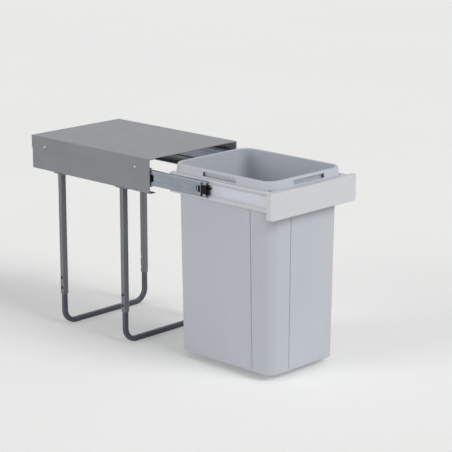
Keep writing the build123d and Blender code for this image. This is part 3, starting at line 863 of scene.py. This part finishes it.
class Scatter:
    """Geometry Nodes tree that copies one shape to points and turns each copy to its point's facing."""

    SEED = 7

    def __init__(self) -> None:
        """Builds the tree with its named inputs."""
        tree = bpy.data.node_groups.new("copies on points", "GeometryNodeTree")
        self.tree = tree
        for name, way, kind in (("Points", "INPUT", "Geometry"), ("Shape", "INPUT", "Object"),
                                ("Width", "INPUT", "Float"), ("Roll", "INPUT", "Float"),
                                ("Finish", "INPUT", "Material"), ("Copies", "OUTPUT", "Geometry")):
            tree.interface.new_socket(name=name, in_out=way, socket_type="NodeSocket" + kind)
        graph = Graph(tree)
        given = tree.nodes.new("NodeGroupInput")
        result = tree.nodes.new("NodeGroupOutput")
        shape = graph.node("GeometryNodeObjectInfo", Object=given.outputs["Shape"])
        facing = graph.node("GeometryNodeInputNamedAttribute", {"data_type": "FLOAT_VECTOR"}, Name="facing")
        turned = graph.node("FunctionNodeAlignRotationToVector", {"axis": "Z"},
                            Vector=facing.outputs["Attribute"])
        roll = graph.node("FunctionNodeRandomValue", {"data_type": "FLOAT"}, Seed=self.SEED)
        graph.feed(self.named(roll.inputs, "Max", "VALUE"), given.outputs["Roll"])
        graph.feed(self.named(roll.inputs, "Min", "VALUE"), 0.0)
        spin = graph.node("FunctionNodeAxisAngleToRotation", Axis=(0.0, 0.0, 1.0),
                          Angle=self.named(roll.outputs, "Value", "VALUE"))
        both = graph.node("FunctionNodeRotateRotation", {"rotation_space": "LOCAL"},
                          Rotation=turned.outputs[0], Rotate_By=spin.outputs[0])
        copies = graph.node("GeometryNodeInstanceOnPoints", Points=given.outputs["Points"],
                            Instance=shape.outputs["Geometry"], Rotation=both.outputs[0],
                            Scale=given.outputs["Width"])
        solid = graph.node("GeometryNodeRealizeInstances", Geometry=copies.outputs[0])
        painted = graph.node("GeometryNodeSetMaterial", Geometry=solid.outputs[0],
                             Material=given.outputs["Finish"])
        graph.feed(result.inputs["Copies"], painted.outputs[0])

    @staticmethod
    def named(sockets: Iterable[Socket], name: str, kind: str) -> Socket:
        """The socket of a name and a type."""
        return next(socket for socket in sockets if socket.name == name and socket.type == kind)

    def place(self, name: str, head: Head, finish: Finish, width: float, spots: Sequence[Spot],
              roll: float = 1.2, tail: float = 0.0, hole: float = 0.0) -> Piece:
        """Makes one piece of copies.

        Args:
            name: The piece's name.
            head: The shape that repeats.
            finish: Its finish.
            width: Its width, in millimetres.
            spots: Place and facing of each copy, in millimetres.
            roll: The most that a copy turns about its own axis, in radians.
            tail: How far a rivet reaches behind its head, in millimetres.
            hole: The diameter of the hole that a rivet fills, in millimetres.

        Returns:
            The piece as a plain mesh.
        """
        shape = HeadShapes(tail=tail / width, tail_half=hole / width / 2).build(head)
        points = bpy.data.meshes.new(name)
        points.from_pydata([Vector(place) * MM for place, facing in spots], [], [])
        facings = points.attributes.new("facing", "FLOAT_VECTOR", "POINT")
        for entry, (place, facing) in zip(facings.data, spots):
            entry.vector = facing
        piece = bpy.data.objects.new(name, points)
        bpy.context.scene.collection.objects.link(piece)
        modifier = piece.modifiers.new("copies", "NODES")
        modifier.node_group = self.tree
        values = {"Shape": shape, "Width": width * MM, "Roll": roll, "Finish": PAINT.of(finish)}
        for label, value in values.items():
            modifier[self.tree.interface.items_tree[label].identifier] = value
        apply_modifiers(piece)
        bpy.data.objects.remove(shape)
        LOG.info("made %s from %d copies", name, len(spots))
        return piece


SCATTER = Scatter()


def mirrored(spots: Iterable[Spot]) -> list[Spot]:
    """Adds to each spot on the left its mirror image on the right.

    Args:
        spots: Places and facings on the left.

    Returns:
        Those on both sides.
    """
    result = []
    for (x, y, z), (across, along, up) in spots:
        result += [((x, y, z), (across, along, up)), ((-x, y, z), (-across, along, up))]
    return result


# The object

@dataclass(frozen=True)
class Housing:
    """The top cover, the side panels, the rear brace and the cover's screws, in millimetres."""

    half_width: float = 146.0
    screw_y: float = 160.0
    screw_z: float = 441.8
    screw_width: float = 7.0

    def build(self) -> None:
        """Dresses the sheet metal and sets the screws."""
        # The cover, brace and side panels take a grey that is darkened in part as painted shade.
        PAINT.dress(FINISHES.cover, "top_cover", "rear_brace")
        PAINT.pair(FINISHES.cover, "side_panel")
        spots = [((-self.half_width, way * self.screw_y, self.screw_z), Way.LEFT.value) for way in (-1, 1)]
        heads = SCATTER.place("cover_screw_heads", Head.CROSS, FINISHES.steel, self.screw_width,
                              mirrored(spots))
        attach(heads, "stand")
        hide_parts("cover_screws")


@dataclass(frozen=True)
class Stand:
    """The upper legs and the floor brackets with their screws, rivets and welds, in millimetres."""

    leg_x: float = 135.8
    leg_y: float = 110.0
    leg_width: float = 15.0
    leg_depth: float = 13.0
    plate_bottom: float = 383.0
    flange_top: float = 386.5
    rivet_step: float = 14.0
    rivet_hole: float = 4.0
    rivet_width: float = 7.0
    screw_heights: tuple[float, float] = (96.0, 122.0)
    screw_width: float = 7.0
    bead_width: float = 2.6
    bead_pitch: float = 1.3
    bead_sunk: float = 0.1
    bead_roll: float = 0.4

    def build(self) -> None:
        """Dresses the tubes and makes what holds them."""
        PAINT.pair(FINISHES.leg, "front_leg", "rear_leg")
        # The floor brackets take the legs' paint darkened as painted shade.
        PAINT.dress(FINISHES.bracket, "front_floor_bracket", "rear_floor_bracket")
        self.make_screws()
        self.make_rivets()
        self.make_welds()

    def make_screws(self) -> None:
        """Cross screws outside each leg and their nuts inside."""
        outside = -self.leg_x - self.leg_width / 2
        inside = -self.leg_x + self.leg_width / 2
        places = [(way * self.leg_y, z) for way in (-1, 1) for z in self.screw_heights]
        heads = SCATTER.place("leg_screw_heads", Head.CROSS, FINISHES.dark, self.screw_width,
                              mirrored(((outside, y, z), Way.LEFT.value) for y, z in places))
        nuts = SCATTER.place("leg_nuts", Head.NUT, FINISHES.steel, self.screw_width,
                             mirrored(((inside, y, z), Way.RIGHT.value) for y, z in places))
        for piece in (heads, nuts):
            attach(piece, "stand")
        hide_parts("leg_screws")

    def make_rivets(self) -> None:
        """Domed rivets on the side panels' bottom flanges, over the leg plates."""
        spots = [((-self.leg_x, way * self.leg_y + step, self.flange_top), Way.UP.value)
                 for way in (-1, 1) for step in (-self.rivet_step, self.rivet_step)]
        rivets = SCATTER.place("leg_plate_rivets", Head.RIVET, FINISHES.steel, self.rivet_width,
                               mirrored(spots), tail=self.flange_top - self.plate_bottom,
                               hole=self.rivet_hole)
        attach(rivets, "stand")
        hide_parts("leg_rivets")

    def make_welds(self) -> None:
        """Rippled weld beads round the top of each leg, under its plate."""
        half_x = self.leg_width / 2
        half_y = self.leg_depth / 2
        corners = ((-half_x, -half_y), (half_x, -half_y), (half_x, half_y), (-half_x, half_y))
        spots = []
        for way in (-1, 1):
            for (x0, y0), (x1, y1) in zip(corners, corners[1:] + corners[:1]):
                count = round(max(abs(x1 - x0), abs(y1 - y0)) / self.bead_pitch)
                for step in range(count):
                    share = step / count
                    place = (-self.leg_x + x0 + (x1 - x0) * share, way * self.leg_y + y0 + (y1 - y0) * share,
                             self.plate_bottom - self.bead_width * self.bead_sunk)
                    spots.append((place, Way.DOWN.value))
        welds = SCATTER.place("leg_welds", Head.BEAD, FINISHES.leg, self.bead_width, mirrored(spots),
                              roll=self.bead_roll)
        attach(welds, "stand")


@dataclass(frozen=True)
class Slides:
    """The two telescopic ball-bearing slides, in millimetres.

    A row of balls has its depth from the wall, its height over the slide's middle, and its cage's front end
    and length.
    """

    centre_z: float = 422.5
    wall_x: float = 143.3
    ball_width: float = 3.2
    balls_in_row: int = 5
    outer_row: tuple[float, float, float, float] = (6.1, 18.57, -196.5, 190.0)
    inner_row: tuple[float, float, float, float] = (8.6, 14.81, -374.0, 180.0)
    rivet_depth: float = 1.5
    rivet_width: float = 8.0
    rivet_places: tuple[float, ...] = (-168.0, -3.0, 162.0)
    rivet_tail: float = 3.0
    rivet_hole: float = 5.0

    def build(self) -> None:
        """Dresses the members, cages and plastic parts, and makes the balls and rivets."""
        PAINT.pair(FINISHES.zinc, "inner_member")
        # The outer and middle members and the outer cages take greased zinc darkened as a painted dark
        # reflection.
        PAINT.pair(FINISHES.greased, "outer_member", "middle_member", "outer_cage")
        PAINT.pair(FINISHES.black, "inner_cage", "end_cap", "closing_bumper", "release_lever")
        PAINT.pair(FINISHES.steel, "lever_pin")
        for side in Side:
            self.make_balls(side, "outer", self.outer_row)
            self.make_balls(side, "inner", self.inner_row)
        x = self.rivet_depth - self.wall_x
        spots = [((x, y, self.centre_z), Way.RIGHT.value) for y in self.rivet_places]
        # The slide rivets take the cover's grey, which is darkened in part as painted shade.
        rivets = SCATTER.place("slide_rivet_heads", Head.RIVET, FINISHES.cover, self.rivet_width,
                               mirrored(spots), tail=self.rivet_tail, hole=self.rivet_hole)
        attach(rivets, "stand")
        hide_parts("slide_rivets")

    def make_balls(self, side: Side, row: str, sizes: tuple[float, float, float, float]) -> None:
        """Makes the balls of one cage.

        Args:
            side: The side of the object.
            row: The cage's word in node names.
            sizes: Depth from the wall, height over the slide's middle, front end and length of the cage.
        """
        depth, height, start, length = sizes
        x = side.value * (self.wall_x - depth)
        pitch = length / self.balls_in_row
        spots = [((x, start + pitch * (step + 0.5), self.centre_z + way * height), Way.UP.value)
                 for step in range(self.balls_in_row) for way in (-1, 1)]
        balls = SCATTER.place(f"{row}_bearing_balls_{side.word}", Head.BALL, FINISHES.ball,
                              self.ball_width, spots)
        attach(balls, f"{row}_cage_{side.word}")
        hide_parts(f"{row}_balls_{side.word}")


@dataclass(frozen=True)
class BinFrame:
    """The moving frame, its rivets, its front panel and the panel's screws, in millimetres."""

    rail_x: float = 129.1
    rivet_z: float = 422.5
    rivet_places: tuple[float, ...] = (-539.0, -409.0, -279.0)
    rivet_width: float = 8.0
    rivet_tail: float = 3.0
    rivet_hole: float = 5.0
    screw_x: float = 100.0
    screw_y: float = -570.5
    screw_heights: tuple[float, float] = (399.5, 430.0)
    screw_width: float = 7.5

    def build(self) -> None:
        """Dresses the rails, crossbars and panel, and makes what holds them."""
        PAINT.pair(FINISHES.rail, "side_rail")
        PAINT.dress(FINISHES.rail, "front_crossbar", "rear_crossbar")
        PAINT.dress(FINISHES.panel, "front_panel")
        spots = [((-self.rail_x, y, self.rivet_z), Way.RIGHT.value) for y in self.rivet_places]
        rivets = SCATTER.place("rail_rivet_heads", Head.RIVET, FINISHES.zinc, self.rivet_width,
                               mirrored(spots), tail=self.rivet_tail, hole=self.rivet_hole)
        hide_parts("inner_rivets")
        spots = [((-self.screw_x, self.screw_y, z), Way.BACK.value) for z in self.screw_heights]
        screws = SCATTER.place("panel_screw_heads", Head.CROSS, FINISHES.steel, self.screw_width,
                               mirrored(spots))
        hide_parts("panel_screws")
        for piece in (rivets, screws):
            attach(piece, "bin_frame")


@dataclass(frozen=True)
class Bin:
    """The waste bin: a thin tapered shell with a turned-down rim, grooves and grip slots, in millimetres."""

    middle_y: float = -412.0
    bottom: float = 14.0
    top: float = 464.0
    bottom_half: tuple[float, float] = (108.5, 144.5)
    bottom_corner: float = 23.0
    top_half: tuple[float, float] = (119.2, 148.3)
    top_corner: float = 31.0
    wall: float = 2.2
    floor: float = 2.5
    foot_round: float = 3.5
    floor_round: float = 5.0
    rim_half: tuple[float, float] = (123.4, 153.4)
    rim_corner: float = 35.0
    flare: float = 3.4
    skirt: float = 20.0
    skirt_wall: float = 2.0
    rim_round: float = 1.7
    lip_round: float = 0.9
    groove_insets: tuple[float, float] = (69.0, 61.0)
    groove_half: float = 1.7
    groove_slope: float = 0.5
    groove_depth: float = 1.5
    groove_foot: float = 1.0
    groove_run_in: float = 3.0
    groove_run_out: float = 2.0
    inner_top: float = 3.0
    inner_foot: float = 1.0
    slot_length: float = 102.0
    slot_low: float = 448.5
    slot_high: float = 458.5
    slot_corner: float = 2.0
    slot_reach: float = 5.0
    corner_steps: int = 14
    round_steps: int = 6
    wall_steps: int = 8
    side_steps: int = 4
    slot_steps: int = 5

    def build(self) -> None:
        """Makes the shell, cuts its slots and dresses it."""
        shell = bmesh.new()
        loop_faces(shell, self.outer_rings() + self.rim_rings() + self.inner_rings())
        piece = mesh_object("waste_bin", shell, FINISHES.bin)
        carve(piece, self.slot_cutter())
        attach(piece, "bin")
        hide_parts("bin")
        LOG.info("made %s with %d faces", piece.name, len(piece.data.polygons))

    def side_points(self, groove: float, side: int) -> list[tuple[float, float]]:
        """Places along one side of the bin, each with its share of the groove's depth.

        Args:
            groove: How far the groove is from the middle of that side.
            side: The end of the side that has the groove, -1 or 1.

        Returns:
            The places in order.
        """
        points = []
        for way in (-1, 1):
            start = way * groove - self.groove_half
            end = way * groove + self.groove_half
            deep = float(way == side)
            points += [(start, 0.0), (start + self.groove_slope, deep), (end - self.groove_slope, deep),
                       (end, 0.0)]
        steps = range(1 - self.side_steps, self.side_steps)
        between = [(groove * step / self.side_steps, 0.0) for step in steps]
        return points[:4] + between + points[4:]

    def ring(self, half_x: float, half_y: float, corner: float, z: float,
             groove: float = 0.0) -> list[Vector]:
        """One ring round the bin.

        Args:
            half_x: Half its width.
            half_y: Half its length.
            corner: Its corner radius.
            z: Its height.
            groove: How deep the grooves are there.

        Returns:
            The points, in metres.
        """
        points = []
        across = self.side_points(self.top_half[0] - self.groove_insets[0], -1)
        along = self.side_points(self.top_half[1] - self.groove_insets[1], 1)
        for turn, places in enumerate((across, along) * 2):
            near, far = (half_y, half_x) if turn % 2 == 0 else (half_x, half_y)
            for place, share in places:
                points.append(self.turned(place, -near + groove * share, turn))
            for step in range(self.corner_steps + 1):
                angle = math.pi / 2 * step / self.corner_steps
                points.append(self.turned(far - corner + corner * math.sin(angle),
                                          -near + corner - corner * math.cos(angle), turn))
        return [Vector((x * MM, (y + self.middle_y) * MM, z * MM)) for x, y in points]

    @staticmethod
    def turned(x: float, y: float, quarters: int) -> tuple[float, float]:
        """A point turned about the middle.

        Args:
            x: The point's place across.
            y: The point's place along.
            quarters: By how many quarter turns.

        Returns:
            The turned point.
        """
        for _ in range(quarters):
            x, y = -y, x
        return x, y

    def wall_ring(self, z: float, inset: float, groove: float = 0.0) -> list[Vector]:
        """A ring of the tapered wall.

        Args:
            z: Its height.
            inset: How far it is drawn in.
            groove: How deep the grooves are there.

        Returns:
            The points, in metres.
        """
        share = (z - self.bottom) / (self.top - self.bottom)
        half_x, half_y = (low + (high - low) * share - inset
                          for low, high in zip(self.bottom_half, self.top_half))
        corner = self.bottom_corner + (self.top_corner - self.bottom_corner) * share - inset
        return self.ring(half_x, half_y, corner, z, groove)

    def rim_ring(self, z: float, inset: float) -> list[Vector]:
        """A ring of the rim at a height, drawn in by an inset."""
        inset -= self.flare * (self.top - z) / self.skirt
        return self.ring(self.rim_half[0] - inset, self.rim_half[1] - inset, self.rim_corner - inset, z)

    def quarter(self) -> list[float]:
        """The angles of a rounded edge's rings."""
        return [math.pi / 2 * step / self.round_steps for step in range(self.round_steps + 1)]

    def outer_rings(self) -> list[list[Vector]]:
        """The rings of the outer wall, from the underside up.

        Returns:
            The rings in order.
        """
        rings = []
        for angle in self.quarter():
            inset = self.foot_round * (1 - math.sin(angle))
            rings.append(self.wall_ring(self.bottom + self.foot_round * (1 - math.cos(angle)), inset))
        low = self.bottom + self.foot_round + self.groove_foot
        high = self.top - self.skirt
        start = low + self.groove_run_in
        rings.append(self.wall_ring(low, 0.0))
        rings += [self.wall_ring(start + (high - start) * step / self.wall_steps, 0.0, self.groove_depth)
                  for step in range(self.wall_steps + 1)]
        rings.append(self.wall_ring(high + self.groove_run_out, 0.0))
        rings.append(self.wall_ring(self.top - self.skirt_wall, 0.0))
        return rings

    def rim_rings(self) -> list[list[Vector]]:
        """The rings of the rim, from under it round its foot to its top.

        Returns:
            The rings in order.
        """
        foot = self.top - self.skirt
        rings = [self.rim_ring(self.top - self.skirt_wall, self.skirt_wall),
                 self.rim_ring(foot + self.lip_round, self.skirt_wall)]
        for angle in self.quarter():
            inset = self.skirt_wall / 2 + (self.skirt_wall / 2) * math.cos(angle * 2)
            rings.append(self.rim_ring(foot + self.lip_round * (1 - math.sin(angle * 2)), inset))
        rings += [self.rim_ring(z, 0.0) for z in (self.slot_low, self.slot_high)]
        for angle in self.quarter():
            inset = self.rim_round * (1 - math.cos(angle))
            rings.append(self.rim_ring(self.top - self.rim_round * (1 - math.sin(angle)), inset))
        return rings

    def inner_rings(self) -> list[list[Vector]]:
        """The rings of the inner wall, from the lip down to the floor.

        Returns:
            The rings in order.
        """
        rings = []
        for angle in self.quarter():
            inset = self.wall - self.lip_round * (1 - math.sin(angle))
            rings.append(self.wall_ring(self.top - self.lip_round * (1 - math.cos(angle)), inset))
        inside = self.bottom + self.floor
        drop = self.top - inside - self.floor_round - self.inner_top - self.inner_foot
        rings += [self.wall_ring(self.top - self.inner_top - drop * step / self.wall_steps, self.wall)
                  for step in range(self.wall_steps + 1)]
        for angle in self.quarter():
            inset = self.wall + self.floor_round * (1 - math.cos(angle))
            rings.append(self.wall_ring(inside + self.floor_round * (1 - math.sin(angle)), inset))
        return rings

    def slot_cutter(self) -> Piece:
        """Four rounded blocks, one through the skirt in the middle of each side.

        Returns:
            The cutter.
        """
        cutter = bmesh.new()
        half_x = self.slot_length / 2 - self.slot_corner
        half_z = (self.slot_high - self.slot_low) / 2 - self.slot_corner
        middle_z = (self.slot_low + self.slot_high) / 2
        inwards = (self.rim_half[0] - self.top_half[0]) / 2 + self.skirt_wall / 2
        for turn, reach in enumerate((self.rim_half[1], self.rim_half[0]) * 2):
            rings = []
            for depth in (-inwards, self.slot_reach):
                ring = []
                for way_x, way_z, start in ((1, 1, 0.0), (-1, 1, 0.25), (-1, -1, 0.5), (1, -1, 0.75)):
                    for step in range(self.slot_steps + 1):
                        angle = math.tau * (start + 0.25 * step / self.slot_steps)
                        x = way_x * half_x + self.slot_corner * math.cos(angle)
                        z = middle_z + way_z * half_z + self.slot_corner * math.sin(angle)
                        across, along = self.turned(x, -reach - depth, turn)
                        ring.append(Vector((across * MM, (along + self.middle_y) * MM, z * MM)))
                rings.append(ring)
            loop_faces(cutter, rings)
        return mesh_object("grip slots", cutter, FINISHES.bin)


def main() -> None:
    """Builds every sub-assembly around the frame."""
    logging.basicConfig(level=logging.INFO, format="%(message)s")
    scene = bpy.context.scene
    scene.view_settings.view_transform = "Standard"
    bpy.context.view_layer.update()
    for assembly in (Stage(), Housing(), Stand(), Slides(), BinFrame(), Bin()):
        assembly.build()
        LOG.info("built %s", type(assembly).__name__)


if __name__ == "__main__":
    main()
